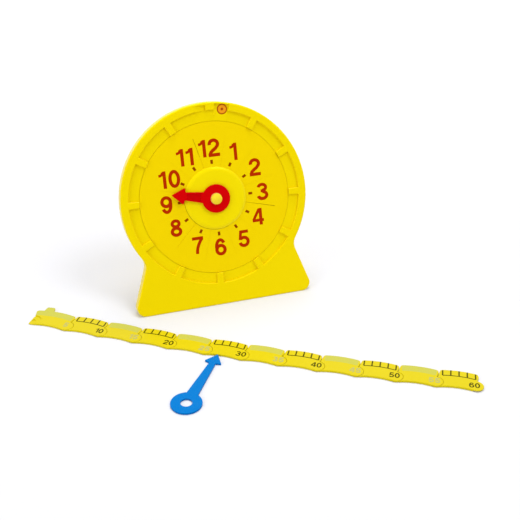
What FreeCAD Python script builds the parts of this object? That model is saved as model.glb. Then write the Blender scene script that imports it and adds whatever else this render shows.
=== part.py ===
import FreeCAD, Part
import Sketcher
import math
import os

# A geared teaching clock: a leaning dial on a fold-out stand, an hour hand driven
# 12:1 from the centre post, a lift-off minute hand, and a number line of twelve
# hinged links that curls into a ring and drops into the channel round the dial.
#
# The clock's pieces are drawn in the face frame: X to the right, Y up the dial,
# Z out of the dial, with Z = 0 on the dial's printed face and the hands' axis at
# the origin. The links are drawn flat, from their left pivot along X.

doc = FreeCAD.newDocument("TeachingClock")
sheet = doc.addObject("Spreadsheet::Sheet", "Sizes")
Vector = FreeCAD.Vector

# Driving dimensions, in millimetres, degrees or tooth counts.
drivingDimensions = {
    # case
    "rim_radius": 152.0,
    "base_half_width": 151.6,
    "base_flare": 19.2,
    "lean": 18.0,
    "rim_clearance": 14.1,
    "case_depth": 20.0,
    "case_wall": 2.4,
    "corner_radius": 14.0,
    "neck_radius": 22.0,
    "front_edge_radius": 2.6,
    "rim_height": 3.4,
    "cover_gap": 0.4,
    # dial, channel and hub
    "dial_radius": 121.8,
    "dial_thickness": 2.0,
    "dial_gap": 0.5,
    "channel_gap": 1.9,
    "channel_step": 0.5,
    "stop_block_angle": 4.6,
    "line_seat_turn": 0.6,
    "channel_bevel": 0.8,
    "tab_seat_shift": 1.0,
    "tab_side_gap": 3.1,
    "tab_end_gap": 2.1,
    "ramp_left": -20.2,
    "ramp_right": -1.7,
    "hub_radius": 50.2,
    "hub_height": 3.0,
    "hub_edge_width": 6.5,
    "hub_edge_step": 0.6,
    "sector_groove_width": 0.8,
    "sector_groove_depth": 0.6,
    "sector_groove_end": 101.0,
    "sector_score_width": 0.5,
    "sector_score_depth": 0.25,
    # hands
    "hand_ring_radius": 22.8,
    "hand_thickness": 3.0,
    "hand_edge_radius": 0.7,
    "hour_hand_length": 72.2,
    "minute_hand_length": 118.2,
    "hand_head_length": 20.0,
    "hand_head_half_width": 13.5,
    "hand_recess_border": 2.2,
    "hand_recess_depth": 0.5,
    "hand_barb_rise": 4.0,
    "hour_shaft_tip_half_width": 6.3,
    "minute_shaft_tip_half_width": 5.0,
    "hand_shaft_root_half_width": 8.8,
    "hour_hand_turn": 281.5,
    # post, tube and bearings
    "post_radius": 8.6,
    "post_dome": 2.2,
    "hand_bore_clearance": 0.05,
    "spindle_radius": 6.2,
    "tube_step": 0.55,
    "running_clearance": 0.05,
    "hand_gap": 1.0,
    "pinion_seat_radius": 5.0,
    "rear_journal_radius": 4.0,
    "drive_flat": 4.1,
    # gears
    "gear_module": 1.25,
    "pressure_angle": 25.0,
    "gear_thickness": 3.0,
    "gear_backlash": 0.18,
    "gear_space": 1.0,
    "cannon_teeth": 15.0,
    "idler_teeth": 45.0,
    "idler_pinion_teeth": 12.0,
    "hour_teeth": 48.0,
    "idler_axle_radius": 2.5,
    # stand
    "stand_half_width": 44.0,
    "stand_foot_half_width": 36.0,
    "stand_opening": 33.0,
    "stand_pivot_drop": 44.0,
    "stand_pivot_depth": 3.2,
    "stand_thickness": 2.4,
    "stand_flange": 4.6,
    "stand_pin_radius": 1.5,
    "stand_barrel_radius": 2.9,
    "tray_depth": 7.0,
    "tray_gap": 1.6,
    # number line
    "line_pivot_radius": 111.2,
    "line_outer_radius": 137.3,
    "link_thickness": 3.2,
    "knuckle_radius": 10.8,
    "knuckle_gap": 0.4,
    "lap_gap": 0.2,
    "band_half_angle": 11.4,
    "band_turn": 1.9,
    "notch_reach": 20.0,
    "notch_turn": 12.0,
    "notch_gap": 0.75,
    "link_corner_radius": 4.4,
    "link_edge_bevel": 0.5,
    "pivot_pin_radius": 2.6,
    "pivot_head_radius": 3.3,
    "closing_end_trim": 4.2,
    "tab_width": 16.4,
    "tab_height": 10.0,
    "tab_turn": -7.0,
    "tab_corner_radius": 2.4,
    # screws
    "screw_radius": 1.5,
    "screw_head_radius": 3.2,
    "screw_head_height": 1.6,
    # places on the table, from the middle of the clock's base
    "line_place_x": -15.9,
    "line_place_y": -154.6,
    "line_heading": -30.95,
    "line_rest_bend": 0.56,
    "minute_hand_place_x": -120.5,
    "minute_hand_place_y": -236.9,
    "minute_hand_heading": 53.3,
}


class Size:
    """A number tied to the cells of the sheet that it is worked out from."""

    def __init__(self, value, text):
        self.value = float(value)
        self.text = text

    def __add__(self, other):
        other = as_size(other)
        return Size(self.value + other.value, f"({self.text} + {other.text})")

    def __radd__(self, other):
        return as_size(other) + self

    def __sub__(self, other):
        other = as_size(other)
        return Size(self.value - other.value, f"({self.text} - {other.text})")

    def __rsub__(self, other):
        return as_size(other) - self

    def __mul__(self, other):
        other = as_size(other)
        return Size(self.value * other.value, f"({self.text} * {other.text})")

    def __rmul__(self, other):
        return as_size(other) * self

    def __truediv__(self, other):
        other = as_size(other)
        return Size(self.value / other.value, f"({self.text} / {other.text})")

    def __neg__(self):
        return Size(-self.value, f"(0 - {self.text})")


def as_size(number):
    """A plain number as a Size, so that the two mix in sums."""
    if isinstance(number, Size):
        return number
    return Size(number, f"({number:.6f})")


def sine(angle):
    return Size(math.sin(math.radians(angle.value)), f"sin({angle.text} * 1 deg)")


def cosine(angle):
    return Size(math.cos(math.radians(angle.value)), f"cos({angle.text} * 1 deg)")


def root_of(number):
    return Size(math.sqrt(number.value), f"sqrt({number.text})")


def fill_sheet():
    """Write the driving dimensions to the sheet and return them as Sizes."""
    sizes = {}
    for row, (name, number) in enumerate(drivingDimensions.items(), start=1):
        sheet.set(f"A{row}", name)
        sheet.set(f"B{row}", str(number))
        sheet.setAlias(f"B{row}", name)
        sizes[name] = Size(number, f"Sizes.{name}")
    doc.recompute()
    return sizes


s = fill_sheet()


def tie_size(name, size):
    """Add a size that follows from others to the sheet, as a formula."""
    row = len(s) + 1
    sheet.set(f"A{row}", name)
    sheet.set(f"B{row}", "=" + size.text.replace("Sizes.", ""))
    sheet.setAlias(f"B{row}", name)
    s[name] = Size(size.value, f"Sizes.{name}")


# The clock stands on its base with its rim clear of the table.
tie_size("dial_height", s["rim_radius"] + s["rim_clearance"])
# The closed ring drops into the channel, and its tab into a seat in the rim.
tie_size("channel_radius", s["line_outer_radius"] + s["channel_gap"])
tie_size("tab_seat_radius", s["line_outer_radius"] + s["tab_height"] + s["tab_end_gap"])
tie_size("tab_seat_width", s["tab_width"] + 2 * s["tab_side_gap"])
tie_size("tab_seat_turn", s["line_seat_turn"] + s["tab_turn"] + s["tab_seat_shift"] + 15.0)
# The hour hand passes over the post onto the wheel's tube.
tie_size("tube_radius", s["post_radius"] + s["tube_step"])
doc.recompute()

# Levels along the face frame's Z.
rimFront = s["rim_height"]
caseBack = s["rim_height"] - s["case_depth"]
channelFloor = -s["channel_step"]
dialSeat = -s["dial_thickness"]
webBack = dialSeat - s["case_wall"]
coverFront = caseBack + s["case_wall"]
bossFace = webBack - 0.8
hourWheelFront = webBack - s["gear_space"]
hourWheelBack = hourWheelFront - s["gear_thickness"]
cannonFront = hourWheelBack - s["gear_space"]
cannonBack = cannonFront - s["gear_thickness"]
rearBossFace = cannonBack - 0.2
hourHandBack = s["hub_height"] + s["hand_gap"]
hourHandFront = hourHandBack + s["hand_thickness"]

# Radii and offsets that several pieces share.
gearCentres = s["gear_module"] * (s["cannon_teeth"] + s["idler_teeth"]) / 2
dialSeatRadius = s["dial_radius"] + s["dial_gap"]
hourBearingRadius = s["tube_radius"] + s["running_clearance"]
floorFront = -(s["dial_height"] + rimFront * sine(s["lean"])) / cosine(s["lean"])
floorBack = -(s["dial_height"] + caseBack * sine(s["lean"])) / cosine(s["lean"])
flareSlope = sine(s["base_flare"]) / cosine(s["base_flare"])
trayHalfWidth = s["stand_half_width"] + s["tray_gap"]
trayTop = -(s["stand_pivot_drop"] - s["stand_barrel_radius"] - s["tray_gap"])
trayFloor = caseBack + s["tray_depth"]
standAxisZ = caseBack + s["stand_pivot_depth"]

# Number line: twelve links make a ring with a pivot every 30 degrees.
linkCount = 12
halfStep = as_size(180.0 / linkCount)
linkPitch = 2 * s["line_pivot_radius"] * sine(halfStep)
ringDrop = s["line_pivot_radius"] * cosine(halfStep)
linkInnerRadius = s["line_pivot_radius"] - s["knuckle_radius"]
tongueTop = (s["link_thickness"] - s["lap_gap"]) / 2
discBottom = tongueTop + s["lap_gap"]


def clock_placement():
    """The face frame in the world: leaning back, dial centre above the table."""
    middle = (floorFront.value + floorBack.value) / 2
    depth = (rimFront.value + caseBack.value) / 2
    lean = math.radians(s["lean"].value)
    forward = -(middle * math.sin(lean) - depth * math.cos(lean))
    turn = FreeCAD.Rotation(Vector(1, 0, 0), 90 - s["lean"].value)
    return FreeCAD.Placement(Vector(0, forward, s["dial_height"].value), turn)


def turned(placement, angle, centre=Vector(0, 0, 0)):
    """A placement turned about its own Z axis through a local centre."""
    spin = FreeCAD.Rotation(Vector(0, 0, 1), angle)
    return placement * FreeCAD.Placement(centre, spin)


# ---- helpers for bodies, sketches and features ----


def new_body(name, placement):
    body = doc.addObject("PartDesign::Body", name)
    body.Label = name
    body.Placement = placement
    return body


def origin_plane(body, role):
    for feature in body.Origin.OriginFeatures:
        if feature.Role == role:
            return feature
    raise ValueError(f"{body.Label} has no {role}")


def new_sketch(body, name, level=None, role="XY_Plane"):
    sketch = body.newObject("Sketcher::SketchObject", f"{body.Name}_{name}")
    sketch.AttachmentSupport = (origin_plane(body, role), [""])
    sketch.MapMode = "FlatFace"
    if level is not None:
        sketch.AttachmentOffset = FreeCAD.Placement(
            Vector(0, 0, level.value), FreeCAD.Rotation()
        )
        sketch.setExpression("AttachmentOffset.Base.z", level.text)
    return sketch


def pin_point(sketch, geometry, point, x, y):
    """Hold a sketch point at x, y by distances from the sketch's origin."""
    for kind, size, axis in (("DistanceX", x, -2), ("DistanceY", y, -1)):
        if abs(size.value) < 1e-9:
            sketch.addConstraint(
                Sketcher.Constraint("PointOnObject", geometry, point, axis)
            )
            continue
        index = sketch.addConstraint(
            Sketcher.Constraint(kind, -1, 1, geometry, point, size.value)
        )
        sketch.setExpression(f"Constraints[{index}]", size.text)


def draw_circle(sketch, radius, x=0.0, y=0.0):
    x = as_size(x)
    y = as_size(y)
    shape = Part.Circle(Vector(x.value, y.value, 0), Vector(0, 0, 1), radius.value)
    geometry = sketch.addGeometry(shape)
    pin_point(sketch, geometry, 3, x, y)
    index = sketch.addConstraint(Sketcher.Constraint("Radius", geometry, radius.value))
    sketch.setExpression(f"Constraints[{index}]", radius.text)


def arc_between(start, end, radius):
    """The shorter arc from start to end; a positive radius bulges to the right.
    Sketches keep arcs counter-clockwise, so the others are drawn end first."""
    chord = end - start
    middle = (start + end) * 0.5
    side = Vector(chord.y, -chord.x, 0).normalize()
    reach = math.sqrt(max(radius * radius - chord.Length * chord.Length / 4, 0.0))
    if radius > 0:
        return Part.Arc(start, middle + side * (radius - reach), end)
    return Part.Arc(end, middle + side * (radius + reach), start)


def draw_outline(sketch, corners):
    """A closed outline. Each corner is (x, y) or (x, y, radius), where the radius
    is that of the arc to the next corner, positive if it bulges to the right."""
    points = [(as_size(c[0]), as_size(c[1])) for c in corners]
    places = [Vector(x.value, y.value, 0) for x, y in points]
    count = len(corners)
    first_points = []
    for i, corner in enumerate(corners):
        start = places[i]
        end = places[(i + 1) % count]
        if len(corner) == 2:
            geometry = sketch.addGeometry(Part.LineSegment(start, end))
            first_points.append((geometry, 1, 2))
            continue
        radius = as_size(corner[2])
        geometry = sketch.addGeometry(arc_between(start, end, radius.value))
        forward = radius.value > 0
        first_points.append((geometry, 1, 2) if forward else (geometry, 2, 1))
        size = radius if radius.value > 0 else -radius
        index = sketch.addConstraint(
            Sketcher.Constraint("Radius", geometry, size.value)
        )
        sketch.setExpression(f"Constraints[{index}]", size.text)
    for i in range(count):
        geometry, begin, finish = first_points[i]
        other, other_begin, _ = first_points[(i + 1) % count]
        sketch.addConstraint(
            Sketcher.Constraint("Coincident", geometry, finish, other, other_begin)
        )
        pin_point(sketch, geometry, begin, *points[i])


def draw_box(sketch, left, right, low, high):
    draw_outline(sketch, [(left, low), (right, low), (right, high), (left, high)])


def bind(feature, **values):
    for name, size in values.items():
        size = as_size(size)
        setattr(feature, name, size.value)
        feature.setExpression(name, size.text)


def pad(body, sketch, length, back=False):
    feature = body.newObject("PartDesign::Pad", f"{sketch.Name}_pad")
    feature.Profile = sketch
    feature.Reversed = back
    bind(feature, Length=length)
    doc.recompute()
    return feature


def cut(body, sketch, length, forward=False):
    """Cut from the sketch's plane towards -Z, or towards +Z if forward."""
    before = body.Shape.Volume
    feature = body.newObject("PartDesign::Pocket", f"{sketch.Name}_cut")
    feature.Profile = sketch
    feature.Reversed = forward
    bind(feature, Length=length)
    doc.recompute()
    if not body.Shape.Volume < before:
        raise ValueError(f"{feature.Name} cuts nothing")
    return feature


def revolve(body, sketch):
    """Turn a sketch on the XZ plane about the body's Z axis."""
    feature = body.newObject("PartDesign::Revolution", f"{sketch.Name}_turn")
    feature.Profile = sketch
    feature.ReferenceAxis = (sketch, ["V_Axis"])
    feature.Angle = 360.0
    doc.recompute()
    return feature


def pattern_round(body, features, count, angle=360.0):
    feature = body.newObject("PartDesign::PolarPattern", f"{features[0].Name}_round")
    feature.Originals = features
    feature.Axis = (origin_plane(body, "Z_Axis"), [""])
    feature.Angle = angle
    feature.Occurrences = count
    body.Tip = feature
    doc.recompute()
    return feature


def edges_where(shape, test):
    """Names of a shape's edges whose middle point passes the test."""
    names = []
    for index, edge in enumerate(shape.Edges, start=1):
        middle = edge.valueAt((edge.FirstParameter + edge.LastParameter) / 2)
        if test(edge, middle):
            names.append(f"Edge{index}")
    return names


def round_edges(body, name, radius, test):
    base = body.Tip
    names = edges_where(base.Shape, test)
    if not names:
        raise ValueError(f"{body.Label} has no edge for {name}")
    feature = body.newObject("PartDesign::Fillet", f"{body.Name}_{name}")
    feature.Base = (base, names)
    bind(feature, Radius=radius)
    doc.recompute()
    return feature


def bevel_edges(body, name, size, test):
    base = body.Tip
    names = edges_where(base.Shape, test)
    if not names:
        raise ValueError(f"{body.Label} has no edge for {name}")
    feature = body.newObject("PartDesign::Chamfer", f"{body.Name}_{name}")
    feature.Base = (base, names)
    bind(feature, Size=size)
    doc.recompute()
    return feature


def is_upright(edge):
    if not isinstance(edge.Curve, Part.Line):
        return False
    return abs(edge.Curve.Direction.z) > 0.999


def polar(radius, turn):
    """A point of the face frame at a clock angle, clockwise from twelve."""
    turn = as_size(turn)
    return radius * sine(turn), radius * cosine(turn)


def ring_sector(sketch, inner, outer, from_turn, to_turn):
    """A sector between two radii and two clock angles."""
    draw_outline(
        sketch,
        [
            (*polar(inner, from_turn), -inner),
            (*polar(inner, to_turn),),
            (*polar(outer, to_turn), outer),
            (*polar(outer, from_turn),),
        ],
    )


# ---- case ----


def flare_half_width(y, inset):
    """Half the base's width at height y, drawn in from its sloping sides."""
    return (
        s["base_half_width"]
        - flareSlope * (y - floorFront)
        - inset / cosine(s["base_flare"])
    )


def draw_base(sketch, low, high, inset):
    draw_outline(
        sketch,
        [
            (-flare_half_width(low, inset), low),
            (flare_half_width(low, inset), low),
            (flare_half_width(high, inset), high),
            (-flare_half_width(high, inset), high),
        ],
    )


def screw_places():
    """Where the rear cover is screwed to the case."""
    ring = s["dial_radius"] + 8.0
    low = floorBack + 22.0
    side = flare_half_width(low, s["case_wall"]) - 12.0
    places = [polar(ring, turn) for turn in (38.0, 104.0, 256.0, 322.0)]
    return places + [(side, low), (-side, low)]


def make_front_housing(placement):
    body = new_body("front_housing", placement)
    wall = s["case_wall"]
    none = as_size(0.0)
    baseTop = as_size(-70.0)

    disc = new_sketch(body, "disc", caseBack)
    draw_circle(disc, s["rim_radius"])
    pad(body, disc, s["case_depth"])
    base = new_sketch(body, "base", caseBack)
    draw_base(base, floorFront, baseTop, none)
    pad(body, base, s["case_depth"])

    def at_neck(edge, middle):
        return is_upright(edge) and floorFront.value + 1 < middle.y < baseTop.value

    def at_corner(edge, middle):
        return is_upright(edge) and middle.y < floorFront.value + 1

    def on_front(edge, middle):
        return abs(middle.z - rimFront.value) < 1e-3

    round_edges(body, "neck", s["neck_radius"], at_neck)
    round_edges(body, "corners", s["corner_radius"], at_corner)
    round_edges(body, "front_edge", s["front_edge_radius"], on_front)

    # the recess for the ring, then the dial's seat in its floor
    recess = new_sketch(body, "recess", rimFront)
    draw_circle(recess, s["channel_radius"])
    cut(body, recess, rimFront - channelFloor)
    seat = new_sketch(body, "dial_seat", channelFloor)
    draw_circle(seat, dialSeatRadius)
    cut(body, seat, channelFloor - dialSeat)

    # eleven stop blocks between the links of the ring, then one bevel round them
    stopTurn = s["line_seat_turn"] + s["band_turn"] + 2 * halfStep
    block = new_sketch(body, "stop_block", channelFloor)
    ring_sector(
        block,
        dialSeatRadius,
        s["channel_radius"] + 0.5,
        stopTurn - s["stop_block_angle"] / 2,
        stopTurn + s["stop_block_angle"] / 2,
    )
    first_block = pad(body, block, rimFront - channelFloor)
    pattern_round(body, [first_block], linkCount - 1, -300.0)

    def at_channel(edge, middle):
        reach = math.hypot(middle.x, middle.y)
        return on_front(edge, middle) and reach < s["channel_radius"].value + 0.1

    bevel_edges(body, "channel_bevel", s["channel_bevel"], at_channel)

    # the low pad and the seat in the rim for the ring's tab
    seatTurn = s["tab_seat_width"] / 2 / s["channel_radius"] * (180 / math.pi)
    pad_sketch = new_sketch(body, "tab_pad", channelFloor)
    ring_sector(
        pad_sketch,
        dialSeatRadius,
        s["channel_radius"] + 1.0,
        s["tab_seat_turn"] - seatTurn,
        s["tab_seat_turn"] + seatTurn,
    )
    pad(body, pad_sketch, -channelFloor)
    tab_seat = new_sketch(body, "tab_seat", rimFront)
    ring_sector(
        tab_seat,
        s["channel_radius"] - 1.0,
        s["tab_seat_radius"],
        s["tab_seat_turn"] - seatTurn,
        s["tab_seat_turn"] + seatTurn,
    )
    cut(body, tab_seat, rimFront)

    # a ramp in the rim lets a finger under the ring's end
    ramp = new_sketch(body, "ramp", -(s["tab_seat_radius"] - 1.8), "XZ_Plane")
    draw_outline(
        ramp,
        [
            (s["ramp_left"], rimFront),
            (s["ramp_right"], channelFloor),
            (s["ramp_right"], rimFront + 1.0),
            (s["ramp_left"], rimFront + 1.0),
        ],
    )
    cut(body, ramp, as_size(14.0), forward=True)

    # the hollow behind, deeper under the base's front wall
    hollow = new_sketch(body, "hollow", caseBack)
    draw_circle(hollow, s["rim_radius"] - wall)
    cut(body, hollow, webBack - caseBack, forward=True)
    base_hollow = new_sketch(body, "base_hollow", caseBack)
    draw_base(base_hollow, floorBack + wall, baseTop, wall)
    cut(body, base_hollow, webBack - caseBack, forward=True)
    arcRadius = s["channel_radius"] + wall
    low = floorBack + wall
    top = -(arcRadius * 0.86)
    arc_half = root_of(arcRadius * arcRadius - top * top)
    deep = new_sketch(body, "deep_hollow", webBack)
    draw_outline(
        deep,
        [
            (-flare_half_width(low, wall + 2.0), low),
            (flare_half_width(low, wall + 2.0), low),
            (flare_half_width(top, wall + 2.0), top),
            (arc_half, top, -arcRadius),
            (-arc_half, top),
            (-flare_half_width(top, wall + 2.0), top),
        ],
    )
    cut(body, deep, rimFront - wall - webBack, forward=True)

    # the table's plane cuts the underside, which then rests flat
    floor = new_sketch(body, "floor", role="YZ_Plane")
    draw_outline(
        floor,
        [
            (floorFront - 5.0, caseBack - 1.0),
            (floorBack + sine(s["lean"]) / cosine(s["lean"]), caseBack - 1.0),
            (floorFront - sine(s["lean"]) / cosine(s["lean"]), rimFront + 1.0),
            (floorFront - 5.0, rimFront + 1.0),
        ],
    )
    under = body.newObject("PartDesign::Pocket", "front_housing_floor_cut")
    under.Profile = floor
    under.Midplane = True
    bind(under, Length=2 * s["base_half_width"] + 20)
    doc.recompute()

    # the stand's foot folds into a notch at the bottom
    notch = new_sketch(body, "stand_notch", caseBack)
    half = trayHalfWidth + wall + s["cover_gap"]
    draw_box(notch, -half, half, floorBack - 8.0, floorBack + wall + 1.0)
    cut(body, notch, s["tray_depth"] + wall + s["cover_gap"], forward=True)

    # bosses: cover screws, idler axle and the hour tube's bearing
    for number, (x, y) in enumerate(screw_places()):
        front = webBack if number < 4 else rimFront - wall
        boss = new_sketch(body, f"boss_{number}", front)
        draw_circle(boss, s["screw_radius"] + 3.0, x, y)
        pad(body, boss, front - coverFront - 2.0, back=True)
    axle_boss = new_sketch(body, "axle_boss", webBack)
    draw_circle(axle_boss, s["idler_axle_radius"] + 2.5, 0.0, gearCentres)
    pad(body, axle_boss, webBack - bossFace, back=True)
    bearing = new_sketch(body, "bearing", webBack)
    draw_circle(bearing, hourBearingRadius + 3.0)
    pad(body, bearing, webBack - bossFace, back=True)

    pilots = new_sketch(body, "pilots", caseBack)
    for x, y in screw_places():
        draw_circle(pilots, s["screw_radius"] + 0.05, x, y)
    cut(body, pilots, webBack - caseBack - 0.4, forward=True)
    axle_hole = new_sketch(body, "axle_hole", bossFace)
    draw_circle(axle_hole, s["idler_axle_radius"] + 0.02, 0.0, gearCentres)
    cut(body, axle_hole, dialSeat - bossFace - 0.6, forward=True)
    bore = new_sketch(body, "hour_bore", dialSeat)
    draw_circle(bore, hourBearingRadius)
    cut(body, bore, dialSeat - bossFace)
    return body


def cut_sector_lines(body, name, width, depth, turn, count):
    """Radial lines on the dial's face, the first at a clock angle, the rest evenly round."""
    line = new_sketch(body, name)
    halfWidth = width / 2 / s["sector_groove_end"] * (180 / math.pi)
    ring_sector(
        line,
        s["hub_radius"] + 0.6,
        s["sector_groove_end"],
        turn - halfWidth,
        turn + halfWidth,
    )
    first = cut(body, line, depth)
    pattern_round(body, [first], count)


def make_dial_plate(placement):
    """The dial, scored between the hours and grooved deeper at every fourth line."""
    body = new_body("dial_plate", placement)
    disc = new_sketch(body, "disc", dialSeat)
    draw_circle(disc, s["dial_radius"])
    draw_circle(disc, s["tube_radius"] + 5.0)
    pad(body, disc, s["dial_thickness"])
    scoreWidth = s["sector_score_width"]
    grooveWidth = s["sector_groove_width"]
    cut_sector_lines(body, "score", scoreWidth, s["sector_score_depth"], halfStep, linkCount)
    cut_sector_lines(body, "groove", grooveWidth, s["sector_groove_depth"], -halfStep, 3)
    return body


def make_hub_cover(placement):
    body = new_body("hub_cover", placement)
    hole = s["tube_radius"] + 0.5
    spigot = s["tube_radius"] + 4.9
    edge = s["hub_edge_width"]
    rise = s["hub_height"] - s["hub_edge_step"]
    edgeRadius = (edge * edge + rise * rise) / (2 * rise)
    profile = new_sketch(body, "profile", role="XZ_Plane")
    draw_outline(
        profile,
        [
            (hole, dialSeat),
            (spigot, dialSeat),
            (spigot, 0.0),
            (s["hub_radius"], 0.0),
            (s["hub_radius"], s["hub_edge_step"], edgeRadius),
            (s["hub_radius"] - edge, s["hub_height"]),
            (hole, s["hub_height"]),
        ],
    )
    revolve(body, profile)
    return body


def make_rear_cover(placement):
    body = new_body("rear_cover", placement)
    wall = s["case_wall"]
    gap = s["cover_gap"]
    inset = wall + gap
    low = floorBack + inset
    disc = new_sketch(body, "disc", caseBack)
    draw_circle(disc, s["rim_radius"] - inset)
    pad(body, disc, wall)
    base = new_sketch(body, "base", caseBack)
    draw_base(base, low, as_size(-70.0), inset)
    pad(body, base, wall)

    # the tray that the folded stand lies in, open at the foot
    outer = new_sketch(body, "tray", caseBack)
    half = trayHalfWidth + wall
    draw_box(outer, -half, half, floorBack + 0.4, trayTop + wall)
    pad(body, outer, s["tray_depth"] + wall)
    inner = new_sketch(body, "tray_hollow", caseBack)
    draw_box(inner, -trayHalfWidth, trayHalfWidth, floorBack - 1.0, trayTop)
    cut(body, inner, s["tray_depth"], forward=True)

    # two lugs hold the stand's pin
    lug_reach = s["stand_barrel_radius"]
    axisY = -s["stand_pivot_drop"]
    lugs = new_sketch(body, "lugs", trayFloor)
    for side in (-1, 1):
        middle = side * lug_middle()
        draw_box(
            lugs,
            middle - lugHalf,
            middle + lugHalf,
            axisY - lug_reach,
            axisY + lug_reach,
        )
    pad(body, lugs, s["tray_depth"] - 0.4, back=True)
    pin_hole = new_sketch(body, "pin_hole", role="YZ_Plane")
    draw_circle(pin_hole, s["stand_pin_radius"] + 0.01, axisY, standAxisZ)
    bore = body.newObject("PartDesign::Pocket", "rear_cover_pin_hole_cut")
    bore.Profile = pin_hole
    bore.Midplane = True
    bind(bore, Length=2 * (lug_middle() + lugHalf) + 1)
    doc.recompute()

    # bearing for the post, and the boss that steadies the idler's axle
    bearing = new_sketch(body, "bearing", caseBack)
    draw_circle(bearing, s["rear_journal_radius"] + 8.0)
    draw_circle(bearing, s["idler_axle_radius"] + 2.5, 0.0, gearCentres)
    pad(body, bearing, rearBossFace - caseBack)
    well = new_sketch(body, "well", caseBack)
    draw_circle(well, as_size(9.5))
    cut(body, well, as_size(2.0), forward=True)
    holes = new_sketch(body, "holes", rearBossFace)
    draw_circle(holes, s["rear_journal_radius"] + s["running_clearance"])
    cut(body, holes, rearBossFace - caseBack)
    axle = new_sketch(body, "axle_hole", rearBossFace)
    draw_circle(axle, s["idler_axle_radius"] + 0.02, 0.0, gearCentres)
    cut(body, axle, rearBossFace - caseBack - 1.0)

    # sunk heads for the cover screws
    raised = new_sketch(body, "screw_bosses", caseBack)
    for x, y in screw_places():
        draw_circle(raised, s["screw_head_radius"] + 1.6, x, y)
    pad(body, raised, wall + 2.0)
    sinks = new_sketch(body, "screw_sinks", caseBack)
    for x, y in screw_places():
        draw_circle(sinks, s["screw_head_radius"] + 0.4, x, y)
    cut(body, sinks, s["screw_head_height"] + 0.6, forward=True)
    through = new_sketch(body, "screw_holes", caseBack)
    for x, y in screw_places():
        draw_circle(through, s["screw_radius"] + 0.2, x, y)
    cut(body, through, wall + 3.0, forward=True)
    return body


# ---- stand ----

lugHalf = as_size(3.0)


def lug_middle():
    return s["stand_half_width"] - 12.0


def stand_length():
    """From the pin to the foot's end, so that the foot reaches the table."""
    lean = s["lean"]
    pivotUp = (
        s["dial_height"]
        - s["stand_pivot_drop"] * cosine(lean)
        + standAxisZ * sine(lean)
    )
    return pivotUp / cosine(s["stand_opening"] - lean)


def make_stand_leg(placement):
    """Drawn folded, with the pin's axis along X through the origin."""
    body = new_body("stand_leg", placement)
    length = stand_length()
    back = -(s["stand_pivot_depth"] - 0.3)
    thickness = s["stand_thickness"]
    slot = s["stand_barrel_radius"] + 2.2
    footRound = s["stand_thickness"] / 2
    half = s["stand_half_width"]
    foot = s["stand_foot_half_width"]
    panel = new_sketch(body, "panel", back)
    draw_outline(
        panel,
        [
            (-foot, -length),
            (foot, -length),
            (half, -slot - 12.0),
            (half, -slot),
            (-half, -slot),
            (-half, -slot - 12.0),
        ],
    )
    pad(body, panel, thickness)

    def at_foot(edge, middle):
        return is_upright(edge) and middle.y < -length.value + 1

    round_edges(body, "foot_corners", as_size(8.0), at_foot)

    # raised flange round the panel, with a finger opening towards the foot
    rim = new_sketch(body, "flange", back)
    flangeWall = as_size(2.0)
    draw_outline(
        rim,
        [
            (-foot + 7.0, -length + 6.0),
            (foot - 7.0, -length + 6.0),
            (half - 3.0, -slot - 13.0),
            (half - 3.0, -slot),
            (-half + 3.0, -slot),
            (-half + 3.0, -slot - 13.0),
        ],
    )
    inner = new_sketch(body, "flange_inside", back + thickness)
    draw_outline(
        inner,
        [
            (-foot + 7.0 + flangeWall, -length + 6.0 + flangeWall),
            (foot - 7.0 - flangeWall, -length + 6.0 + flangeWall),
            (half - 3.0 - flangeWall, -slot - 13.0),
            (half - 3.0 - flangeWall, -slot - flangeWall),
            (-half + 3.0 + flangeWall, -slot - flangeWall),
            (-half + 3.0 + flangeWall, -slot - 13.0),
        ],
    )
    pad(body, rim, s["stand_flange"])
    cut(body, inner, s["stand_flange"] - thickness, forward=True)
    window = new_sketch(body, "window", back)
    draw_box(window, as_size(-16.0), as_size(16.0), -length + 20.0, -length + 34.0)
    cut(body, window, thickness + 1.0, forward=True)

    # barrels on the pin, on both sides of each lug
    edges = [
        (-half, -(lug_middle() + lugHalf) - 0.4),
        (-(lug_middle() - lugHalf) + 0.4, lug_middle() - lugHalf - 0.4),
        (lug_middle() + lugHalf + 0.4, half),
    ]
    for number, (left, right) in enumerate(edges):
        web = new_sketch(body, f"barrel_web_{number}", back)
        draw_box(web, left, right, -slot - 1.0, as_size(0.0))
        pad(body, web, s["stand_barrel_radius"] * 1.6)
        barrel = body.newObject("PartDesign::AdditiveCylinder", f"stand_barrel_{number}")
        bind(barrel, Radius=s["stand_barrel_radius"], Height=right - left)
        barrel.Placement = FreeCAD.Placement(
            Vector(left.value, 0, 0), FreeCAD.Rotation(Vector(0, 1, 0), 90)
        )
        barrel.setExpression("Placement.Base.x", left.text)
        doc.recompute()
    bore = new_sketch(body, "pin_bore", role="YZ_Plane")
    draw_circle(bore, s["stand_pin_radius"] + s["running_clearance"])
    drilled = body.newObject("PartDesign::Pocket", "stand_pin_bore_cut")
    drilled.Profile = bore
    drilled.Midplane = True
    bind(drilled, Length=2 * half + 2)
    doc.recompute()

    # the foot's end is rounded, so it meets the table softly
    def foot_end(edge, middle):
        return middle.y < -length.value + 1e-3 and abs(edge.tangentAt(edge.FirstParameter).x) > 0.99

    round_edges(body, "foot_end", footRound * 0.9, foot_end)
    return body


def make_stand_pin(placement):
    pin = doc.addObject("Part::Cylinder", "stand_hinge_pin")
    pin.Label = "stand_hinge_pin"
    half = s["stand_half_width"] - 1.0
    bind(pin, Radius=s["stand_pin_radius"], Height=2 * half)
    turn = FreeCAD.Placement(
        Vector(-half.value, 0, 0), FreeCAD.Rotation(Vector(0, 1, 0), 90)
    )
    pin.Placement = placement * turn
    return pin


# ---- hands, post and gears ----


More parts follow.
